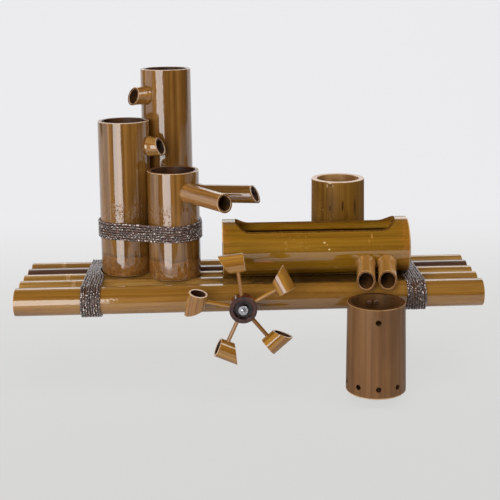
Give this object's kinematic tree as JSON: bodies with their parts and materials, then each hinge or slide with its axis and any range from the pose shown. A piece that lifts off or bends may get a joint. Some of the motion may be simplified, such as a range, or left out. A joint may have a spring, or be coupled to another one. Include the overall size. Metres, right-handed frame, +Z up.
{
  "type": "bamboo cascade fountain",
  "caption": "Bamboo water cascade on a lashed pole raft: bound pots with spouts feed an open trough, a hanging filter pot and a free-turning bucket wheel.",
  "frame": {"origin": "middle of the raft, level with the underside of its thick front pole, where the raft rests on a tank rim", "axes": "+X to the right along the raft, +Y away from the viewer, +Z up"},
  "size_m": [0.6, 0.2649, 0.3919],
  "materials": {
    "pot_bamboo": "glossy varnished amber-brown culm",
    "pole_bamboo": "glossy varnished light brown culm",
    "trough_bamboo": "varnished olive-gold culm, darker below",
    "filter_bamboo": "satin brown culm",
    "spout_bamboo": "glossy varnished culm with pale sawn ends",
    "wheel_bamboo": "glossy varnished culm",
    "hub_bamboo": "dark red-brown varnished ring",
    "lashing_cord": "dark grey-brown twisted cord, slightly waxed",
    "screw_steel": "bright steel",
    "bush_plastic": "dark matt",
    "inlet_plastic": "dark matt",
    "inlet_rubber": "black soft rubber"
  },
  "bodies": {
    "fountain": {"left_pot": "pot_bamboo", "front_pot": "pot_bamboo", "tallest_pot": "pot_bamboo", "back_cup": "pot_bamboo", "front_pole": "pole_bamboo", "second_pole": "pole_bamboo", "third_pole": "pole_bamboo", "fourth_pole": "pole_bamboo", "back_pole": "pole_bamboo", "trough": "trough_bamboo", "filter_pot": "filter_bamboo", "tallest_pot_spout": "spout_bamboo", "left_pot_spout": "spout_bamboo", "wheel_spout": "spout_bamboo", "trough_feed_spout": "spout_bamboo", "trough_left_spout": "spout_bamboo", "trough_right_spout": "spout_bamboo", "left_lashing": "lashing_cord", "right_lashing": "lashing_cord", "pot_lashing": "lashing_cord", "filter_screw_left": "screw_steel", "filter_screw_right": "screw_steel", "front_washer": "screw_steel", "back_washer": "screw_steel", "axle_screw": "screw_steel", "axle_spacer": "bush_plastic", "inlet_nipple": "inlet_plastic", "inlet_grommet": "inlet_rubber"},
    "wheel": {"wheel_hub": "hub_bamboo", "wheel_bush": "bush_plastic", "wheel_spoke_1": "wheel_bamboo", "wheel_spoke_2": "wheel_bamboo", "wheel_spoke_3": "wheel_bamboo", "wheel_spoke_4": "wheel_bamboo", "wheel_spoke_5": "wheel_bamboo", "wheel_bucket_1": "wheel_bamboo", "wheel_bucket_2": "wheel_bamboo", "wheel_bucket_3": "wheel_bamboo", "wheel_bucket_4": "wheel_bamboo", "wheel_bucket_5": "wheel_bamboo"}
  },
  "joints": [
    {"name": "wheel_spin", "type": "hinge", "parent": "fountain", "child": "wheel", "pos_m": [-0.0115, -0.1004, 0.0163], "axis": [0, -1, 0], "continuous": true}
  ]
}
